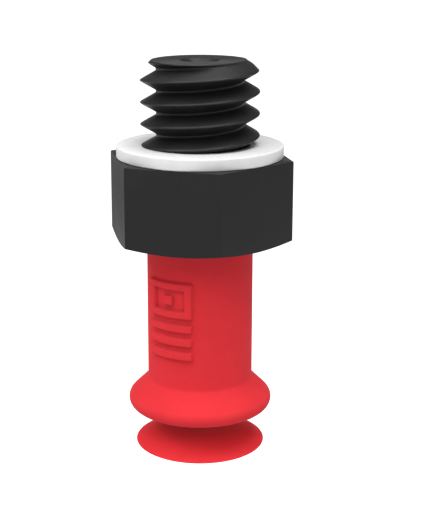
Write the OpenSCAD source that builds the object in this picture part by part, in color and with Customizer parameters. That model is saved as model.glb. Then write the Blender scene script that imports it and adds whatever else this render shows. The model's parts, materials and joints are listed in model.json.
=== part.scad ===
// Small bellows suction cup on a threaded vacuum fitting.
// Turned fitting, captive sealing washer and a one-piece moulded rubber cup.
// Frame: +Z points up along the thread, the origin is on the axis in the washer's
// top face, which is the face that seals against the machine. Sizes in millimetres.

/* [Thread] */
// Diameter over the thread crests
thread_d = 5; // [4.9:0.05:5.1]
// Diameter at the thread root
thread_root_d = 3.66; // [3.5:0.02:3.9]
// Distance from one crest to the next
thread_pitch = 0.91; // [0.88:0.01:0.92]
// Flat land on each crest
crest_land = 0.08; // [0.05:0.01:0.12]
// Flat left at the bottom of each groove
root_land = 0.03; // [0.02:0.01:0.06]
// Height of the threaded stem above the washer
thread_h = 3.5; // [3.4:0.1:3.6]
// Size of the bevel round the top of the thread
top_bevel = 0.46; // [0.3:0.02:0.5]
// Number of full ridges
ridge_count = 4; // [3:1:4]

/* [Vacuum port] */
// Diameter of the air passage through the fitting
port_d = 1.3; // [1:0.1:1.8]
// Size of the bevel round the mouth of the passage
port_bevel = 0.2; // [0.1:0.02:0.3]

/* [Hexagon] */
// Size across the flats
hex_af = 7; // [6.8:0.1:7.4]
// Height of the hexagon
hex_h = 3.5; // [3:0.1:4]
// Height of the turned bevel on the lower corners
hex_bevel = 0.16; // [0.1:0.02:0.4]

/* [Washer] */
// Outer diameter of the sealing washer
washer_d = 7; // [6.6:0.1:7]
// Thickness of the sealing washer
washer_t = 0.5; // [0.4:0.05:0.8]
// Diameter of the washer's hole, smaller than the thread so that the washer can't fall off
washer_hole_d = 4.2; // [4.1:0.1:4.4]
// Depth to which the hole's upper edge is eased, so that the thread above it is clear
washer_ease = 0.04; // [0.03:0.01:0.1]

/* [Spigot] */
// Diameter of the plain spigot under the hexagon
spigot_d = 2.9; // [2.6:0.1:3]
// Diameter over the barbs
barb_d = 3.4; // [3.2:0.05:3.5]
// Length of the spigot below the hexagon
spigot_l = 5.2; // [4.8:0.1:5.4]
// Length of one barb's taper
barb_l = 1; // [0.7:0.1:1.2]
// Distance from one barb to the next
barb_step = 1.8; // [1.6:0.1:2]
// Gap between the spigot and the cup, on the radius
cup_gap = 0.03; // [0.02:0.01:0.05]

/* [Cup neck] */
// Outer diameter of the neck
neck_d = 4.5; // [4.4:0.05:4.7]
// Length of the neck below the hexagon
neck_l = 6.14; // [6:0.02:6.4]
// Diameter of the passage below the spigot
neck_bore_d = 2.6; // [2.2:0.1:2.8]

/* [Moulded mark] */
// Angle of the raised mark round the neck
mark_angle = -16; // [-180:1:180]
// Width of the raised mark, straight across
mark_w = 2; // [1.8:0.1:2.4]
// Height of one figure of the mark
mark_h = 1.5; // [1.2:0.1:1.7]
// How far the mark stands out
mark_relief = 0.09; // [0.05:0.01:0.09]
// Width of the mark's lines
mark_line = 0.28; // [0.2:0.02:0.36]
// Height of the mark's middle above the neck's lower end
mark_up = 3.04; // [2.9:0.02:3.6]

/* [Bellows] */
// Largest diameter of the fold
fold_d = 6.18; // [6.1:0.02:6.3]
// Radius of the fold's rounded crest
fold_crest_r = 0.39; // [0.36:0.01:0.42]
// Depth of the crest's middle below the neck
fold_crest_z = 0.99; // [0.95:0.01:1.05]
// Diameter at the bottom of the groove between fold and lip
waist_d = 2.6; // [2.5:0.02:2.7]
// Depth of that groove below the neck
waist_z = 1.845; // [1.82:0.005:1.9]
// Diameter of the passage through the waist
waist_bore_d = 1.7; // [1.6:0.05:1.8]

/* [Lip] */
// Diameter of the sealing lip
lip_d = 5.574; // [5.5:0.002:5.7]
// Depth of the lip's rim below the neck
lip_z = 3; // [2.95:0.01:3.1]
// Width of the rim's flat contact edge
rim_w = 0.09; // [0.06:0.01:0.14]
// Height of the rim's outer edge
rim_h = 0.05; // [0.04:0.01:0.08]
// Gap between the parts of the lip that tilt
lip_gap = 0.02; // [0.015:0.005:0.03]

/* [Hidden] */

ROUND = 96;
HEX = 6;
ARC_STEPS = 9;
BARS = 3;
CUT = 1;
TRIM = 0.1;

thread_r = thread_d / 2;
root_r = thread_root_d / 2;
hex_top = -washer_t;
hex_bottom = hex_top - hex_h;
corner_r = hex_af / sqrt(3);
bevel_slope = hex_bevel / (corner_r - hex_af / 2);
spigot_r = spigot_d / 2;
barb_r = barb_d / 2;
spigot_end = hex_bottom - spigot_l;
spigot_lead = 0.2;
first_barb = 1.1;
barb_count = 2;
neck_r = neck_d / 2;
neck_end = hex_bottom - neck_l;
flank = (thread_pitch - crest_land - root_land) / 2;
seat_gap = 0.05;
undercut = 0.03;
relief_r = root_r - undercut;

// groove and fold, in millimetres from the axis and from the origin
crest_r = fold_d / 2 - fold_crest_r;
crest_z = neck_end - fold_crest_z;
groove_r = waist_d / 2;
groove_z = neck_end - waist_z;
bore_r = waist_bore_d / 2;
inner_crest = 0.3;
inner_crest_r = fold_crest_r * inner_crest;
inner_crest_in = 0.1;
bore_flare = 0.2;
crest_top = 45;
crest_low = -72;

// the lip tilts about this point; its parts meet on spheres round it
tilt_drop = 0.065;
tilt_z = groove_z - tilt_drop;
waist_ball = 1.42;
throat_ball = 2;
floor_rise = 0.32;
floor_z = groove_z + floor_rise;
floor_slope = 0.2;
throat_drop = 0.25;
throat_z = groove_z - throat_drop;
rim_z = neck_end - lip_z;
rim_r = lip_d / 2;

// the mark's figures stand this far from its middle; they are raised out of the neck's wall
mark_gap = 0.15;
mark_dot = 1.4;
mark_start = 0.7;

silicone = [0.86, 0.08, 0.11];
black = [0.08, 0.08, 0.08];
white = [0.93, 0.93, 0.92];

function arc(r, z, radius, from, to) =
    [for (i = [0 : ARC_STEPS])
        let (a = from + (to - from) * i / ARC_STEPS)
        [r + radius * cos(a), z + radius * sin(a)]];

// one ridge of the thread, from its lower flank to its upper flank
function ridge(z) = [
    [root_r, z - flank],
    [thread_r, z],
    [thread_r, z + crest_land],
    [root_r, z + crest_land + flank]
];

// the lowest ridge is cut level where the washer sits under it
lowest_ridge = [
    [relief_r, 0],
    [thread_r, 0],
    [thread_r, crest_land],
    [root_r, crest_land + flank]
];

// the last, partly cut ridge that runs into the bevel at the top
last_z = ridge_count * thread_pitch;
top_edge = 0.06;
bevel_r = thread_r - top_bevel;
last_r = min(bevel_r, root_r + (thread_h - last_z + flank) * (thread_r - root_r) / flank);

module turned(points) {
    rotate_extrude($fn = ROUND)
        polygon(points);
}

module threaded_stem() {
    turned(concat(
        [[0, hex_top - CUT], [relief_r, hex_top - CUT]],
        lowest_ridge,
        [for (i = [1 : ridge_count - 1]) for (p = ridge(i * thread_pitch)) p],
        [[root_r, last_z - flank], [last_r, thread_h - top_edge],
         [last_r, thread_h], [0, thread_h]]
    ));
}

module hexagon() {
    intersection() {
        translate([0, 0, hex_bottom])
            cylinder(r = corner_r, h = hex_h, $fn = HEX);
        turned([
            [0, hex_bottom],
            [hex_af / 2, hex_bottom],
            [corner_r + TRIM, hex_bottom + hex_bevel + TRIM * bevel_slope],
            [corner_r + TRIM, hex_top],
            [0, hex_top]
        ]);
    }
}

// outline of the barbed spigot; grow makes the matching hole in the cup
function spigot_side(grow) = concat(
    [for (i = [0 : barb_count - 1])
        let (z = hex_bottom - first_barb - i * barb_step)
        for (p = [[spigot_r + grow, z + grow],
                  [barb_r + grow, z + grow],
                  [spigot_r + grow, z - barb_l]]) p],
    [[spigot_r + grow, spigot_end + spigot_lead],
     [spigot_r - spigot_lead + grow, spigot_end - grow]]
);

module spigot() {
    turned(concat(
        [[0, hex_bottom + CUT], [spigot_r, hex_bottom + CUT]],
        spigot_side(0),
        [[0, spigot_end]]
    ));
}

module threaded_fitting() {
    color(black)
    difference() {
        union() {
            threaded_stem();
            hexagon();
            spigot();
        }
        translate([0, 0, spigot_end - CUT])
            cylinder(d = port_d, h = thread_h - spigot_end + 2 * CUT, $fn = ROUND);
        turned([
            [0, thread_h - port_bevel],
            [port_d / 2, thread_h - port_bevel],
            [port_d / 2 + port_bevel + TRIM, thread_h + TRIM],
            [0, thread_h + TRIM]
        ]);
    }
}

module sealing_washer() {
    color(white)
    turned([
        [washer_hole_d / 2, hex_top],
        [washer_d / 2, hex_top],
        [washer_d / 2, 0],
        [thread_r + seat_gap, 0],
        [washer_hole_d / 2, -washer_ease]
    ]);
}

// two plain figures: a square frame with a dot in it, above three level bars
module mark_figures() {
    half = mark_h / 2;
    dot = mark_line * mark_dot;
    translate([0, half + mark_gap])
        difference() {
            square([mark_w, mark_h], center = true);
            square([mark_w - 2 * mark_line, mark_h - 2 * mark_line], center = true);
        }
    translate([0, half + mark_gap])
        square([dot, dot], center = true);
    for (i = [0 : BARS - 1])
        translate([0, -mark_gap - mark_line / 2 - i * (mark_h - mark_line) / (BARS - 1)])
            square([mark_w, mark_line], center = true);
}

module moulded_mark() {
    intersection() {
        translate([0, 0, neck_end])
            cylinder(r = neck_r + mark_relief, h = neck_l, $fn = ROUND);
        rotate([0, 0, mark_angle])
            translate([0, -neck_r * mark_start, neck_end + mark_up])
                rotate([90, 0, 0])
                    linear_extrude(neck_r)
                        mark_figures();
    }
}

module cup_neck() {
    color(silicone)
    difference() {
        union() {
            translate([0, 0, neck_end])
                cylinder(r = neck_r, h = neck_l, $fn = ROUND);
            moulded_mark();
        }
        turned(concat(
            [[0, hex_bottom + CUT], [spigot_r + cup_gap, hex_bottom + CUT]],
            spigot_side(cup_gap),
            [[0, spigot_end - cup_gap]]
        ));
        translate([0, 0, neck_end - CUT])
            cylinder(d = neck_bore_d, h = neck_l - spigot_l + CUT, $fn = ROUND);
    }
}

// section of the cup below the neck: fold, waist and lip in one outline
function fold_outer() = concat(
    [[neck_r, neck_end]],
    arc(crest_r, crest_z, fold_crest_r, crest_top, crest_low),
    [[groove_r, groove_z]]
);
function fold_inner() = concat(
    [[bore_r, floor_z]],
    arc(crest_r - inner_crest_in, crest_z, inner_crest_r, crest_low, crest_top),
    [[neck_bore_d / 2, neck_end - bore_flare], [neck_bore_d / 2, neck_end]]
);

module ball(radius) {
    translate([0, 0, tilt_z])
        sphere(r = radius, $fn = ROUND);
}

module bellows_fold() {
    color(silicone)
    difference() {
        turned(concat(fold_outer(), fold_inner()));
        ball(waist_ball);
    }
}

module lip_section() {
    turned([
        [bore_r, groove_z + lip_gap],
        [groove_r, groove_z],
        [rim_r, rim_z + rim_h],
        [rim_r, rim_z],
        [rim_r - rim_w, rim_z],
        [bore_r, throat_z]
    ]);
}

module waist_ring() {
    color(silicone)
    intersection() {
        turned([
            [bore_r, floor_z],
            [waist_ball, floor_z + floor_slope],
            [waist_ball + CUT, groove_z + floor_slope],
            [groove_r, groove_z],
            [rim_r, rim_z + rim_h],
            [rim_r - rim_w, rim_z],
            [bore_r, throat_z]
        ]);
        ball(waist_ball);
    }
}

module lip_throat() {
    color(silicone)
    difference() {
        intersection() {
            lip_section();
            ball(throat_ball);
        }
        ball(waist_ball + lip_gap);
    }
}

module sealing_lip() {
    color(silicone)
    difference() {
        lip_section();
        ball(throat_ball + lip_gap);
    }
}

threaded_fitting();
sealing_washer();
cup_neck();
bellows_fold();
waist_ring();
lip_throat();
sealing_lip();
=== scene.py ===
import json
import math

import bmesh
import bpy
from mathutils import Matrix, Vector


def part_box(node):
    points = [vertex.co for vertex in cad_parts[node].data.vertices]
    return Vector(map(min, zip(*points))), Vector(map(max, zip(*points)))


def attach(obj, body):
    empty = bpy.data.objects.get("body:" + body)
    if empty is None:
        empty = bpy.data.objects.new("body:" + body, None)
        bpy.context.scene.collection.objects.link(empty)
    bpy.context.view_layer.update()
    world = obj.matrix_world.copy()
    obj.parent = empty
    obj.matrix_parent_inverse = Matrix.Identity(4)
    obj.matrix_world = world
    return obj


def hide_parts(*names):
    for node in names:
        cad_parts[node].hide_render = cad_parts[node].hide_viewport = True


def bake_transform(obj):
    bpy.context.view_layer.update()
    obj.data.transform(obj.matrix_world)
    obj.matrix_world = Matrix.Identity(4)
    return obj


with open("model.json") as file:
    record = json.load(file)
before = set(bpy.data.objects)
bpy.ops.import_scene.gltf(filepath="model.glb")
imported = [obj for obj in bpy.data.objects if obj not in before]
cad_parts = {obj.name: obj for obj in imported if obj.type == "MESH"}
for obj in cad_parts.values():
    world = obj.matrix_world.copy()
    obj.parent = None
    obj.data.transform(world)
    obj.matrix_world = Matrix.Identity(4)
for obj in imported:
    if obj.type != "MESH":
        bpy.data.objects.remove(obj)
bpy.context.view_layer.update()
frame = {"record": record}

MM = 0.001
TAU = 2 * math.pi
MOUNTS = {m["name"]: m for m in frame["record"]["mounts"]}


def box_mm(node):
    """Lowest and highest corner of a CAD node, in millimetres."""
    low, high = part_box(node)
    return [v / MM for v in low], [v / MM for v in high]


# ---------- places that the frame gives, in millimetres ----------

FIT_LOW, FIT_HIGH = box_mm("threaded_fitting")
WASHER_LOW, WASHER_HIGH = box_mm("sealing_washer")
NECK_LOW, NECK_HIGH = box_mm("cup_neck")
LIP_LOW, LIP_HIGH = box_mm("sealing_lip")

CREST_R = MOUNTS["m5_thread"]["dims"]["r_mm"]
PORT_R = MOUNTS["vacuum_port"]["dims"]["r_mm"]
THREAD_TOP = FIT_HIGH[2]
SPIGOT_END = FIT_LOW[2]
HEX_TOP = WASHER_LOW[2]
HEX_BOTTOM = NECK_HIGH[2]
HEX_HALF = FIT_HIGH[1]
NECK_R = NECK_HIGH[1]
NECK_END = NECK_LOW[2]
FOLD_R = box_mm("bellows_fold")[1][0]
RIM_R = LIP_HIGH[0]
RIM_Z = LIP_LOW[2]

# ---------- shapes that the CAD model doesn't give ----------

# The thread, the plain neck under it and the mouth of the air passage.
PITCH = 0.91
ROOT_R = 1.83
RELIEF_R = 1.8
THREAD_FOOT = WASHER_HIGH[2] + 0.012
TOP_BEVEL = 0.46
TOP_EDGE = 0.03
PORT_BEVEL = 0.2
FIRST_CREST = HEX_TOP + 0.9395 * PITCH
FLANK_SLOPE = 1.79
CREST_ROUND = 0.035
ROOT_ROUND = 0.03

# The hexagon, the washer and the spigot that the cup is pushed on to.
HEX_CORNER_ROUND = 0.045
HEX_EDGE = 0.035
HEX_BEVEL_SLOPE = 0.296
WASHER_HOLE_R = 2.1
WASHER_ROUND = 0.06
SPIGOT_R = 1.45
BARB_R = 1.7
BARB_LENGTH = 1.0
BARB_DROPS = (2.9, 1.1)
SPIGOT_GAP = 0.03

# The cup, with its fold's crest and its seam between throat and lip.
GROOVE_R = 1.3
GROOVE_Z = NECK_END - 1.845
CREST_ARC = 0.387
CREST_HOLLOW = 0.12
CREST_Z = NECK_END - 0.99
WAIST_BORE_R = 0.85
SEAM_LOW = NECK_END - 2.52

# The raised mark on the neck. MARK_REACH is how far round from its middle the neck's rows look for it.
MARK_ANGLE = math.radians(-16)
MARK_REACH = math.radians(33)
MARK_HALF_W = 1.0
MARK_HALF_H = 0.75
MARK_GAP = 0.15
MARK_LINE = 0.3
MARK_Z = NECK_END + 3.04
MARK_RELIEF = 0.16


# ---------- small helpers ----------

def mix(a, b, t):
    return a + (b - a) * t


def smooth(a, b, v):
    """0 below a, 1 above b, with no corner between."""
    t = min(max((v - a) / (b - a), 0.0), 1.0)
    return t * t * (3 - 2 * t)


def steps(a, b, count):
    """count values from a up to b, both included."""
    return [mix(a, b, i / (count - 1)) for i in range(count)]


def arc(centre_r, centre_z, radius, start, end, count):
    """Points of an outline's arc, with its angles in degrees from the outward direction."""
    return [(centre_r + radius * math.cos(math.radians(a)),
             centre_z + radius * math.sin(math.radians(a))) for a in steps(start, end, count)]


def curve(start, pull, end, count):
    """Points of an outline's curve, from start to end and drawn towards pull between them."""
    points = []
    for t in steps(0, 1, count):
        points.append(tuple((1 - t) ** 2 * s + 2 * t * (1 - t) * p + t * t * e
                            for s, p, e in zip(start, pull, end)))
    return points


def circle(radius, z, angles):
    return [(radius * math.cos(a), radius * math.sin(a), z) for a in angles]


def new_object(name, vertices, faces, sharp_angle):
    """A mesh object from points in millimetres. Points that coincide become one."""
    made = bmesh.new()
    points = [made.verts.new((x * MM, y * MM, z * MM)) for x, y, z in vertices]
    for face in faces:
        made.faces.new([points[i] for i in face])
    bmesh.ops.remove_doubles(made, verts=made.verts, dist=1e-7)
    bmesh.ops.dissolve_degenerate(made, edges=made.edges, dist=1e-8)
    bmesh.ops.recalc_face_normals(made, faces=made.faces)
    mesh = bpy.data.meshes.new(name)
    made.to_mesh(mesh)
    made.free()
    mesh.shade_smooth()
    mesh.set_sharp_from_angle(angle=math.radians(sharp_angle))
    thing = bpy.data.objects.new(name, mesh)
    bpy.context.scene.collection.objects.link(thing)
    return thing


def ring_object(name, rows, sharp_angle=40, first=None, last=None, shift=0):
    """A closed ring from rows of points, each row once round the axis and the last joined to the first.
    Between rows first and last the surface climbs shift rows in each turn, as a thread does."""
    count = len(rows[0])
    vertices = [p for row in rows for p in row]

    def at(i, j):
        return (i % len(rows)) * count + j

    faces = []
    for i in range(len(rows)):
        for j in range(count):
            k = (j + 1) % count
            up = shift if k == 0 and first is not None and first <= i < last else 0
            low, high = (min(i + up, last), min(i + 1 + up, last)) if up else (i, i + 1)
            face = dict.fromkeys((at(i, j), at(low, k), at(high, k), at(i + 1, j)))
            if len(face) > 2:
                faces.append(tuple(face))
    return new_object(name, vertices, faces, sharp_angle)


def turned(name, outline, angles, sharp_angle=40):
    """A closed outline of (radius, z) points, turned round the axis."""
    return ring_object(name, [circle(r, z, angles) for r, z in outline], sharp_angle)


def even_angles(count):
    return [TAU * i / count for i in range(count)]


# ---------- materials ----------

def new_material(name):
    material = bpy.data.materials.new(name)
    material.use_nodes = True
    nodes, links = material.node_tree.nodes, material.node_tree.links
    return material, nodes, links, nodes["Principled BSDF"]


def noise(nodes, links, scale, detail=3.0, roughness=0.55):
    """Noise fixed to the piece, with scale in cycles per metre."""
    place = nodes.new("ShaderNodeTexCoord")
    made = nodes.new("ShaderNodeTexNoise")
    made.inputs["Scale"].default_value = scale
    made.inputs["Detail"].default_value = detail
    made.inputs["Roughness"].default_value = roughness
    links.new(place.outputs["Object"], made.inputs["Vector"])
    return made.outputs["Fac"]


def ramp(nodes, links, source, low, high, start=0.3, end=0.7):
    """Colours from low to high as source goes from start to end."""
    made = nodes.new("ShaderNodeValToRGB")
    made.color_ramp.elements[0].position = start
    made.color_ramp.elements[0].color = (*low, 1)
    made.color_ramp.elements[1].position = end
    made.color_ramp.elements[1].color = (*high, 1)
    links.new(source, made.inputs["Fac"])
    return made.outputs["Color"]


def levels(nodes, links, source, low, high, start=0.3, end=0.7):
    """Numbers from low to high as source goes from start to end."""
    made = nodes.new("ShaderNodeMapRange")
    made.inputs["From Min"].default_value = start
    made.inputs["From Max"].default_value = end
    made.inputs["To Min"].default_value = low
    made.inputs["To Max"].default_value = high
    links.new(source, made.inputs["Value"])
    return made.outputs["Result"]


def bump(nodes, links, height, strength, distance):
    made = nodes.new("ShaderNodeBump")
    made.inputs["Strength"].default_value = strength
    made.inputs["Distance"].default_value = distance
    links.new(height, made.inputs["Height"])
    return made.outputs["Normal"]


def lighten(nodes, links, base, light, amount):
    """base, turned towards the colour light by amount."""
    made = nodes.new("ShaderNodeMix")
    made.data_type = "RGBA"
    links.new(amount, made.inputs["Factor"])
    links.new(base, made.inputs[6])
    made.inputs[7].default_value = (*light, 1)
    return made.outputs[2]


def painted_crevice_shade(nodes, links, distance, deep, open_air):
    """Painted shade mask, from ambient occlusion: 1 deep in a narrow gap and 0 where the surface within
    distance is open.
    """
    made = nodes.new("ShaderNodeAmbientOcclusion")
    made.samples = 8
    made.inputs["Distance"].default_value = distance
    return levels(nodes, links, made.outputs["AO"], 1.0, 0.0, start=deep, end=open_air)


def black_anodised():
    """Matte black anodised metal: a fine etched grain, a little cloudy, lightened on its sharpest edges as
    wear and as a painted highlight along the thread's crests.
    """
    material, nodes, links, shader = new_material("black_anodised")
    cloud = noise(nodes, links, 900, detail=4)
    grain = noise(nodes, links, 26000, detail=2)
    base = ramp(nodes, links, cloud, (0.0085, 0.0085, 0.0088), (0.0110, 0.0110, 0.0114))
    geometry = nodes.new("ShaderNodeNewGeometry")
    # Edge wear and painted highlight: the sharpest edges, most of all the thread's crests, are turned a
    # little lighter.
    worn_and_highlit_edges = levels(nodes, links, geometry.outputs["Pointiness"], 0.0, 0.1, start=0.54, end=0.66)
    colour = lighten(nodes, links, base, (0.04, 0.04, 0.041), worn_and_highlit_edges)
    links.new(colour, shader.inputs["Base Color"])
    links.new(levels(nodes, links, cloud, 0.42, 0.50), shader.inputs["Roughness"])
    links.new(bump(nodes, links, grain, 0.25, 0.000004), shader.inputs["Normal"])
    shader.inputs["Specular IOR Level"].default_value = 0.35
    return material


def white_nylon():
    """Cut white nylon sheet: milky, slightly uneven, with the fine marks of its punch on it."""
    material, nodes, links, shader = new_material("white_nylon")
    cloud = noise(nodes, links, 1200, detail=3)
    grain = noise(nodes, links, 15000, detail=3)
    colour = ramp(nodes, links, cloud, (0.775, 0.775, 0.77), (0.835, 0.835, 0.835))
    links.new(colour, shader.inputs["Base Color"])
    links.new(levels(nodes, links, grain, 0.48, 0.60), shader.inputs["Roughness"])
    links.new(bump(nodes, links, grain, 0.2, 0.000005), shader.inputs["Normal"])
    shader.inputs["Subsurface Weight"].default_value = 0.15
    shader.inputs["Subsurface Radius"].default_value = (1.0, 1.0, 1.0)
    shader.inputs["Subsurface Scale"].default_value = 0.0002
    return material


def red_silicone():
    """Moulded red silicone rubber: matte, a little dusty, with the fine grain of its mould, and painted
    shade in its grooves and crevices.
    """
    material, nodes, links, shader = new_material("red_silicone")
    cloud = noise(nodes, links, 700, detail=4)
    grain = noise(nodes, links, 18000, detail=3)
    base = ramp(nodes, links, cloud, (0.79, 0.032, 0.043), (0.84, 0.038, 0.049))
    # Painted shade: deeper red in grooves within 1.2 mm, as under the fold and at the waist, then in fine
    # crevices within 0.3 mm, as round the raised mark.
    painted_hollow_shade = lighten(nodes, links, base, (0.38, 0.065, 0.072), painted_crevice_shade(nodes, links, 0.0012, 0.15, 0.75))
    colour = lighten(nodes, links, painted_hollow_shade, (0.38, 0.040, 0.046), painted_crevice_shade(nodes, links, 0.0003, 0.35, 0.8))
    links.new(colour, shader.inputs["Base Color"])
    links.new(levels(nodes, links, cloud, 0.72, 0.82), shader.inputs["Roughness"])
    links.new(bump(nodes, links, grain, 0.25, 0.000004), shader.inputs["Normal"])
    shader.inputs["Specular IOR Level"].default_value = 0.15
    shader.inputs["Subsurface Weight"].default_value = 0.1
    shader.inputs["Subsurface Radius"].default_value = (1.0, 0.25, 0.2)
    shader.inputs["Subsurface Scale"].default_value = 0.0002
    return material


def pale_floor():
    material, nodes, links, shader = new_material("pale_floor")
    shader.inputs["Base Color"].default_value = (0.93, 0.93, 0.93, 1)
    shader.inputs["Roughness"].default_value = 0.9
    shader.inputs["Specular IOR Level"].default_value = 0.1
    shader.inputs["Emission Color"].default_value = (1.0, 1.0, 1.0, 1)
    shader.inputs["Emission Strength"].default_value = 1.0
    return material


def finish_piece(thing, material, slot, *nodes):
    """Gives a piece its material and hides the CAD nodes that it stands for. The slot argument is not
    used.
    """
    thing.data.materials.append(material)
    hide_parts(*nodes)


# ---------- the threaded fitting ----------

def fitting_angles():
    """Angles round the fitting, close together at the hexagon's corners, one each sixth of a turn."""
    near = [math.radians(a) for a in (-0.57, -0.38, -0.19, 0.0, 0.19, 0.38, 0.57)]
    found = set()
    for corner in range(6):
        found.update(round((corner * TAU / 6 + a) % TAU, 9) for a in near)
        found.update(round(corner * TAU / 6 + math.radians(a), 9) for a in steps(1.5, 58.5, 39))
    return sorted(found)


def hexagon_radius(angle, half, corner_round):
    """Distance from the axis to a hexagon with rounded corners, the first corner at angle 0."""
    off = abs((angle + TAU / 12) % (TAU / 6) - TAU / 12)
    centre = (half - corner_round) / math.cos(TAU / 12)
    tangent = math.atan2(corner_round * math.sin(TAU / 12), centre + corner_round * math.cos(TAU / 12))
    if off < tangent:
        return centre * math.cos(off) + math.sqrt(corner_round ** 2 - (centre * math.sin(off)) ** 2)
    return half / math.cos(TAU / 12 - off)


def hexagon_row(half, z, angles, lift=0.0):
    """A row round the hexagon. lift raises it where it is further out than the flats' middles."""
    row = []
    for a in angles:
        r = hexagon_radius(a, half, HEX_CORNER_ROUND)
        row.append((r * math.cos(a), r * math.sin(a), z + lift * (r - half)))
    return row


def thread_radius(offset, z):
    """Radius of the thread at a height z, offset from the nearest crest along the axis."""
    fall = FLANK_SLOPE * (math.hypot(offset, CREST_ROUND) - CREST_ROUND)
    over = CREST_R - fall - ROOT_R
    thread = ROOT_R + 0.5 * (over + math.hypot(over, ROOT_ROUND)) - ROOT_ROUND * 0.25
    bevel = CREST_R - TOP_BEVEL + THREAD_TOP - z
    return min(thread, bevel, CREST_R)


def thread_rows(angles, top):
    """Rows that climb one pitch in each turn, cut level just above the washer and at the top."""
    half = PITCH / 2
    offsets = [-half, -0.43, -0.41, -0.38, -0.3, -0.2, -0.1, -0.05, -0.02,
               0.0, 0.02, 0.05, 0.1, 0.2, 0.3, 0.38, 0.41, 0.43]
    turns = math.ceil((top - THREAD_FOOT) / PITCH) + 2
    rows = []
    for turn in range(-2, turns):
        for offset in offsets:
            row = []
            for a in angles:
                wanted = FIRST_CREST + PITCH * (turn + a / TAU) + offset
                z = min(max(wanted, THREAD_FOOT), top)
                from_crest = (z - FIRST_CREST - PITCH * a / TAU + half) % PITCH - half
                r = thread_radius(from_crest, z)
                row.append((r * math.cos(a), r * math.sin(a), z))
            rows.append(row)
    return rows, len(offsets)


def inset(row, by, z):
    """The same row, nearer the axis and at height z."""
    return [(x * (1 - by / math.hypot(x, y)), y * (1 - by / math.hypot(x, y)), z) for x, y, _ in row]


def spigot_outline():
    """The barbed spigot from its end up to the hexagon."""
    points = [(SPIGOT_R - 0.2, SPIGOT_END), (SPIGOT_R - 0.15, SPIGOT_END + 0.03),
              (SPIGOT_R, SPIGOT_END + 0.2)]
    for drop in BARB_DROPS:
        shoulder = HEX_BOTTOM - drop
        points += [(SPIGOT_R, shoulder - BARB_LENGTH), (BARB_R - 0.02, shoulder - 0.04),
                   (BARB_R - 0.02, shoulder), (SPIGOT_R, shoulder)]
    return points + [(SPIGOT_R, HEX_BOTTOM)]


def port_outline():
    """The air passage, from its bevelled mouth down to the spigot's end."""
    mouth = PORT_R + PORT_BEVEL
    return [(mouth + 0.015, THREAD_TOP), (mouth - 0.005, THREAD_TOP - 0.012),
            (PORT_R + 0.01, THREAD_TOP - PORT_BEVEL + 0.005), (PORT_R, THREAD_TOP - PORT_BEVEL - 0.02),
            (PORT_R, HEX_TOP), (PORT_R, SPIGOT_END + 0.03), (PORT_R + 0.03, SPIGOT_END)]


def hexagon_rows(angles):
    """The hexagon from its flat underside up to its top: bevelled below and eased above."""
    return [circle(HEX_HALF - 0.3, HEX_BOTTOM, angles),
            circle(HEX_HALF - 0.015, HEX_BOTTOM, angles),
            hexagon_row(HEX_HALF, HEX_BOTTOM + 0.01, angles, HEX_BEVEL_SLOPE),
            hexagon_row(HEX_HALF, HEX_BOTTOM + 0.03, angles, HEX_BEVEL_SLOPE),
            hexagon_row(HEX_HALF, HEX_TOP - HEX_EDGE, angles),
            hexagon_row(HEX_HALF - HEX_EDGE * 0.3, HEX_TOP - HEX_EDGE * 0.3, angles),
            hexagon_row(HEX_HALF - HEX_EDGE, HEX_TOP, angles)]


def fitting():
    """Thread, air passage, spigot, hexagon and the plain neck under the thread: one closed skin."""
    angles = fitting_angles()
    thread, per_turn = thread_rows(angles, THREAD_TOP - TOP_EDGE)
    rows = thread + [inset(thread[-1], TOP_EDGE, THREAD_TOP)]
    rows += [circle(r, z, angles) for r, z in port_outline() + spigot_outline()]
    rows += hexagon_rows(angles)
    rows.append(circle(RELIEF_R + 0.05, HEX_TOP, angles))
    rows.append(circle(RELIEF_R, HEX_TOP + 0.05, angles))
    rows.append(circle(RELIEF_R, THREAD_FOOT, angles))
    thing = ring_object("fitting_body", rows, 32, first=0, last=len(thread) - 1, shift=per_turn)
    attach(thing, "fitting")
    finish_piece(thing, black_anodised(), "black_anodised", "threaded_fitting")


# ---------- the washer ----------

def washer():
    inner, outer = WASHER_HOLE_R, WASHER_HIGH[0]
    low, high = WASHER_LOW[2], WASHER_HIGH[2]
    soft, softer = WASHER_ROUND, WASHER_ROUND * 0.6
    outline = arc(outer - soft, high - soft, soft, 90, 0, 5)
    outline += arc(outer - soft, low + soft, soft, 0, -90, 5)
    outline += arc(inner + softer, low + softer, softer, -90, -180, 4)
    outline += arc(inner + softer, high - softer, softer, 180, 90, 4)
    thing = turned("washer_ring", outline, even_angles(144))
    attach(thing, "washer")
    finish_piece(thing, white_nylon(), "white_washer", "sealing_washer")


# ---------- the silicone cup ----------

def cup_angles():
    """Angles round the cup, close together over the raised mark."""
    middle = MARK_ANGLE - math.pi / 2
    fine = steps(-MARK_REACH, MARK_REACH, 111)
    coarse = steps(MARK_REACH, TAU - MARK_REACH, 101)[1:-1]
    return [middle + a for a in fine + coarse]


def bar_distance(x, z, half_w, half_h):
    """Distance from a point to a plain bar centred on 0, negative inside it."""
    dx, dz = abs(x) - half_w, abs(z) - half_h
    return math.hypot(max(dx, 0), max(dz, 0)) + min(max(dx, dz), 0)


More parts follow.
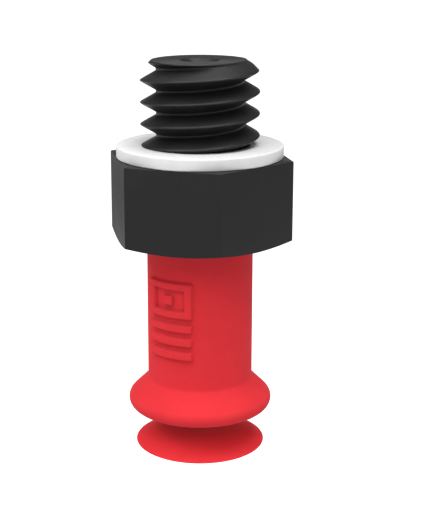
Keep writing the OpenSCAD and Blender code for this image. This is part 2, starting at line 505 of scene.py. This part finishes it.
def mark_height(x, z):
    """How far the raised mark stands out: a frame with a dot in it, above three level bars."""
    up = z - MARK_Z
    frame_z = up - MARK_HALF_H - MARK_GAP
    outside = bar_distance(x, frame_z, MARK_HALF_W, MARK_HALF_H)
    inside = bar_distance(x, frame_z, MARK_HALF_W - MARK_LINE, MARK_HALF_H - MARK_LINE)
    nearest = max(outside, -inside)
    dot = MARK_LINE * 0.7
    nearest = min(nearest, bar_distance(x, frame_z, dot, dot))
    half_line = MARK_LINE / 2
    for i in range(3):
        bar_z = up + MARK_GAP + half_line + i * (2 * MARK_HALF_H - MARK_LINE) / 2
        nearest = min(nearest, bar_distance(x, bar_z, MARK_HALF_W, half_line))
    return MARK_RELIEF * (1 - smooth(-0.03, 0.03, nearest))


def neck_row(z, angles):
    """A row round the neck, with the mark raised where it crosses it."""
    row = []
    for a in angles:
        turn = (a + math.pi / 2 - MARK_ANGLE + math.pi) % TAU - math.pi
        raised = mark_height(NECK_R * math.sin(turn), z) if abs(turn) < MARK_REACH else 0
        r = NECK_R + raised
        row.append((r * math.cos(a), r * math.sin(a), z))
    return row


def neck_heights():
    """Heights of the neck's rows, from the top down, close together over the mark."""
    reach = 2 * MARK_HALF_H + MARK_GAP + 0.08
    top, bottom = MARK_Z + reach, MARK_Z - reach
    fine = steps(top, bottom, 139)
    return steps(HEX_BOTTOM - 0.05, top, 7)[:-1] + fine + steps(bottom, NECK_END + 0.06, 10)[1:]


def fold_outer():
    """The fold from the crease under the neck, round its crest and in to the groove."""
    centre_r = FOLD_R - CREST_ARC
    crest = arc(centre_r, CREST_Z, CREST_ARC, 45.3, -72.3, 22)
    crease = curve((NECK_R, NECK_END + 0.06), (NECK_R, NECK_END), (NECK_R + 0.045, NECK_END - 0.045), 4)
    upper = [(mix(crease[-1][0], crest[0][0], t), mix(crease[-1][1], crest[0][1], t)) for t in (0.3, 0.6)]
    lower = [(mix(crest[-1][0], GROOVE_R + 0.1, t), mix(crest[-1][1], GROOVE_Z + 0.03, t))
             for t in (0.2, 0.4, 0.6, 0.8, 1.0)]
    return crease[1:] + upper + crest + lower


def fold_inner():
    """The hollow of the fold, from the waist's passage back up to the neck's bore."""
    centre_r = FOLD_R - CREST_ARC - 0.1
    hollow = CREST_HOLLOW
    floor = curve((WAIST_BORE_R, GROOVE_Z + 0.3), (WAIST_BORE_R + 0.3, GROOVE_Z + 0.36),
                  (centre_r, CREST_Z - hollow), 8)
    crest = arc(centre_r, CREST_Z, hollow, -72, 45, 8)
    roof = curve((centre_r + 0.05, CREST_Z + hollow), (1.4, NECK_END - 0.22), (1.3, NECK_END), 8)
    return floor + crest[1:] + roof[1:]


def neck_bore():
    """The hole in the neck that fits the barbed spigot, from its lower end up."""
    gap = SPIGOT_GAP
    points = [(1.3, SPIGOT_END - gap)]
    for r, z in spigot_outline()[:-1]:
        points.append((r + gap, z if r < BARB_R - 0.05 else z + gap * 0.5))
    return points + [(SPIGOT_R + gap, HEX_BOTTOM - 0.05), (SPIGOT_R + gap + 0.05, HEX_BOTTOM - 0.001)]


def neck_and_bellows(angles, material):
    """Neck and fold, one skin, from under the hexagon down to the waist."""
    rows = [circle(NECK_R - 0.05, HEX_BOTTOM - 0.001, angles)]
    rows += [neck_row(z, angles) for z in neck_heights()]
    outline = fold_outer()
    seam_z = GROOVE_Z + 0.01
    outline += [(GROOVE_R + 0.04, seam_z), (WAIST_BORE_R, seam_z)]
    outline += fold_inner() + neck_bore()
    rows += [circle(r, z, angles) for r, z in outline]
    thing = ring_object("cup_neck_and_bellows", rows, 60)
    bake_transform(thing)
    finish_piece(thing, material, "red_silicone", "cup_neck", "bellows_fold")


def lip_outer(count):
    """The lip's upper side from the groove out to the rim, flaring a little as it goes."""
    return curve((GROOVE_R, GROOVE_Z), (1.88, GROOVE_Z - 0.68), (RIM_R - 0.015, RIM_Z + 0.05), count)


def lip_inner(count):
    """The lip's hollow underside from the passage out to the rim."""
    return curve((WAIST_BORE_R, GROOVE_Z - 0.3), (1.6, GROOVE_Z - 0.72), (RIM_R - 0.07, RIM_Z), count)


def split_at(outline, z):
    """An outline that runs downwards, cut in two at height z, with the cut point in both."""
    for i in range(len(outline) - 1):
        (r0, z0), (r1, z1) = outline[i], outline[i + 1]
        if z0 >= z > z1:
            cut = (mix(r0, r1, (z0 - z) / (z0 - z1)), z)
            return outline[:i + 1] + [cut], [cut] + outline[i + 1:]
    raise ValueError("the outline never reaches that height")


def waist_and_lip(angles, material):
    """The waist with the lip's throat, and the lip: two skins that meet at a level seam."""
    throat_out, lip_out = split_at(lip_outer(28), SEAM_LOW)
    throat_in, lip_in = split_at(lip_inner(28), SEAM_LOW)
    passage = [(WAIST_BORE_R, GROOVE_Z + 0.01)]
    groove = [(GROOVE_R + 0.04, GROOVE_Z + 0.01)]
    waist = turned("cup_waist", groove + throat_out + throat_in[::-1] + passage, angles, 60)
    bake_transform(waist)
    finish_piece(waist, material, "red_silicone", "waist_ring", "lip_throat")
    rim = [(RIM_R, RIM_Z + 0.03), (RIM_R - 0.003, RIM_Z + 0.012), (RIM_R - 0.02, RIM_Z)]
    lip = turned("cup_lip", lip_out + rim + lip_in[::-1], angles, 60)
    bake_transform(lip)
    finish_piece(lip, material, "red_silicone", "sealing_lip")


# ---------- floor, light and camera ----------

def floor():
    """A plain pale floor that sweeps up into a white tent. It lies well below the part, which hangs by its
    thread, and only the camera sees it: the light comes from the lamps and the sky."""
    low = RIM_Z - 65
    flat, bend, wall_top, peak = 450, 250, 450, 750
    outline = [(0, low)] + arc(flat, low + bend, bend, -90, 0, 9) + [(flat + bend, wall_top), (0, peak)]
    thing = turned("floor", outline, even_angles(48))
    thing.data.materials.append(pale_floor())
    thing.visible_diffuse = False
    thing.visible_glossy = False
    thing.visible_shadow = False


def sky(stops):
    """A grey studio. Each stop is a height, from -1 straight down to 1 straight up, and its brightness."""
    world = bpy.data.worlds.new("studio")
    world.use_nodes = True
    nodes, links = world.node_tree.nodes, world.node_tree.links
    way = nodes.new("ShaderNodeTexCoord")
    parts = nodes.new("ShaderNodeSeparateXYZ")
    links.new(way.outputs["Generated"], parts.inputs["Vector"])
    height = levels(nodes, links, parts.outputs["Z"], 0, 1, start=-1, end=1)
    shade = nodes.new("ShaderNodeValToRGB")
    places = shade.color_ramp.elements
    while len(places) < len(stops):
        places.new(0.5)
    for place, (z, glow) in zip(places, stops):
        place.position = (z + 1) / 2
        place.color = (glow, glow, glow, 1)
    links.new(height, shade.inputs["Fac"])
    links.new(shade.outputs["Color"], nodes["Background"].inputs["Color"])
    nodes["Background"].inputs["Strength"].default_value = 1.0
    bpy.context.scene.world = world


def softbox(name, azimuth, elevation, distance, size, glow):
    """A square lamp aimed at the part. glow is its brightness as the camera would see it."""
    a, e = math.radians(azimuth), math.radians(elevation)
    aim = Vector((0, 0, -4 * MM))
    away = Vector((math.sin(a) * math.cos(e), -math.cos(a) * math.cos(e), math.sin(e)))
    lamp = bpy.data.lights.new(name, "AREA")
    lamp.shape = "SQUARE"
    lamp.size = size
    lamp.energy = glow * math.pi * size * size
    thing = bpy.data.objects.new(name, lamp)
    thing.location = aim + away * distance
    thing.rotation_mode = "QUATERNION"
    thing.rotation_quaternion = (-away).to_track_quat("-Z", "Y")
    bpy.context.scene.collection.objects.link(thing)


def camera():
    """The viewpoint: a little to the right of the -Y side and a little above the hexagon."""
    azimuth, away, height, down = 18.53, 50.24, 8.94, 13.56
    focal_px, long_side = 1220.7, 515
    right_px, low_px = 10.5, 39.6
    lens = bpy.data.cameras.new("camera")
    lens.sensor_width = 36
    lens.lens = focal_px / long_side * lens.sensor_width
    lens.shift_x = right_px / long_side
    lens.shift_y = -low_px / long_side
    lens.clip_start, lens.clip_end = 0.005, 20
    thing = bpy.data.objects.new("camera", lens)
    turn = math.radians(azimuth)
    thing.location = Vector((away * math.sin(turn), -away * math.cos(turn), height)) * MM
    thing.rotation_euler = (math.radians(90 - down), 0, turn)
    bpy.context.scene.collection.objects.link(thing)
    bpy.context.scene.camera = thing


def light():
    bpy.context.scene.view_settings.view_transform = "Standard"
    sky([(-1, 0.45), (-0.35, 1.05), (-0.12, 0.05), (0.05, 1.65), (0.15, 0.05), (0.5, 0.25), (1, 0.1)])
    softbox("left_light", -50, 54, 0.2, 0.14, 3.3)
    softbox("right_light", 75, 55, 0.2, 0.14, 0.4)
    softbox("front_light", 15, 52, 0.2, 0.14, 2.85)
    softbox("back_light", 198, 70, 0.2, 0.14, 1.1)
    softbox("high_light", 85, 72, 0.2, 0.1, 5.0)


fitting()
washer()
round_the_cup = cup_angles()
silicone = red_silicone()
neck_and_bellows(round_the_cup, silicone)
waist_and_lip(round_the_cup, silicone)
floor()
light()
camera()
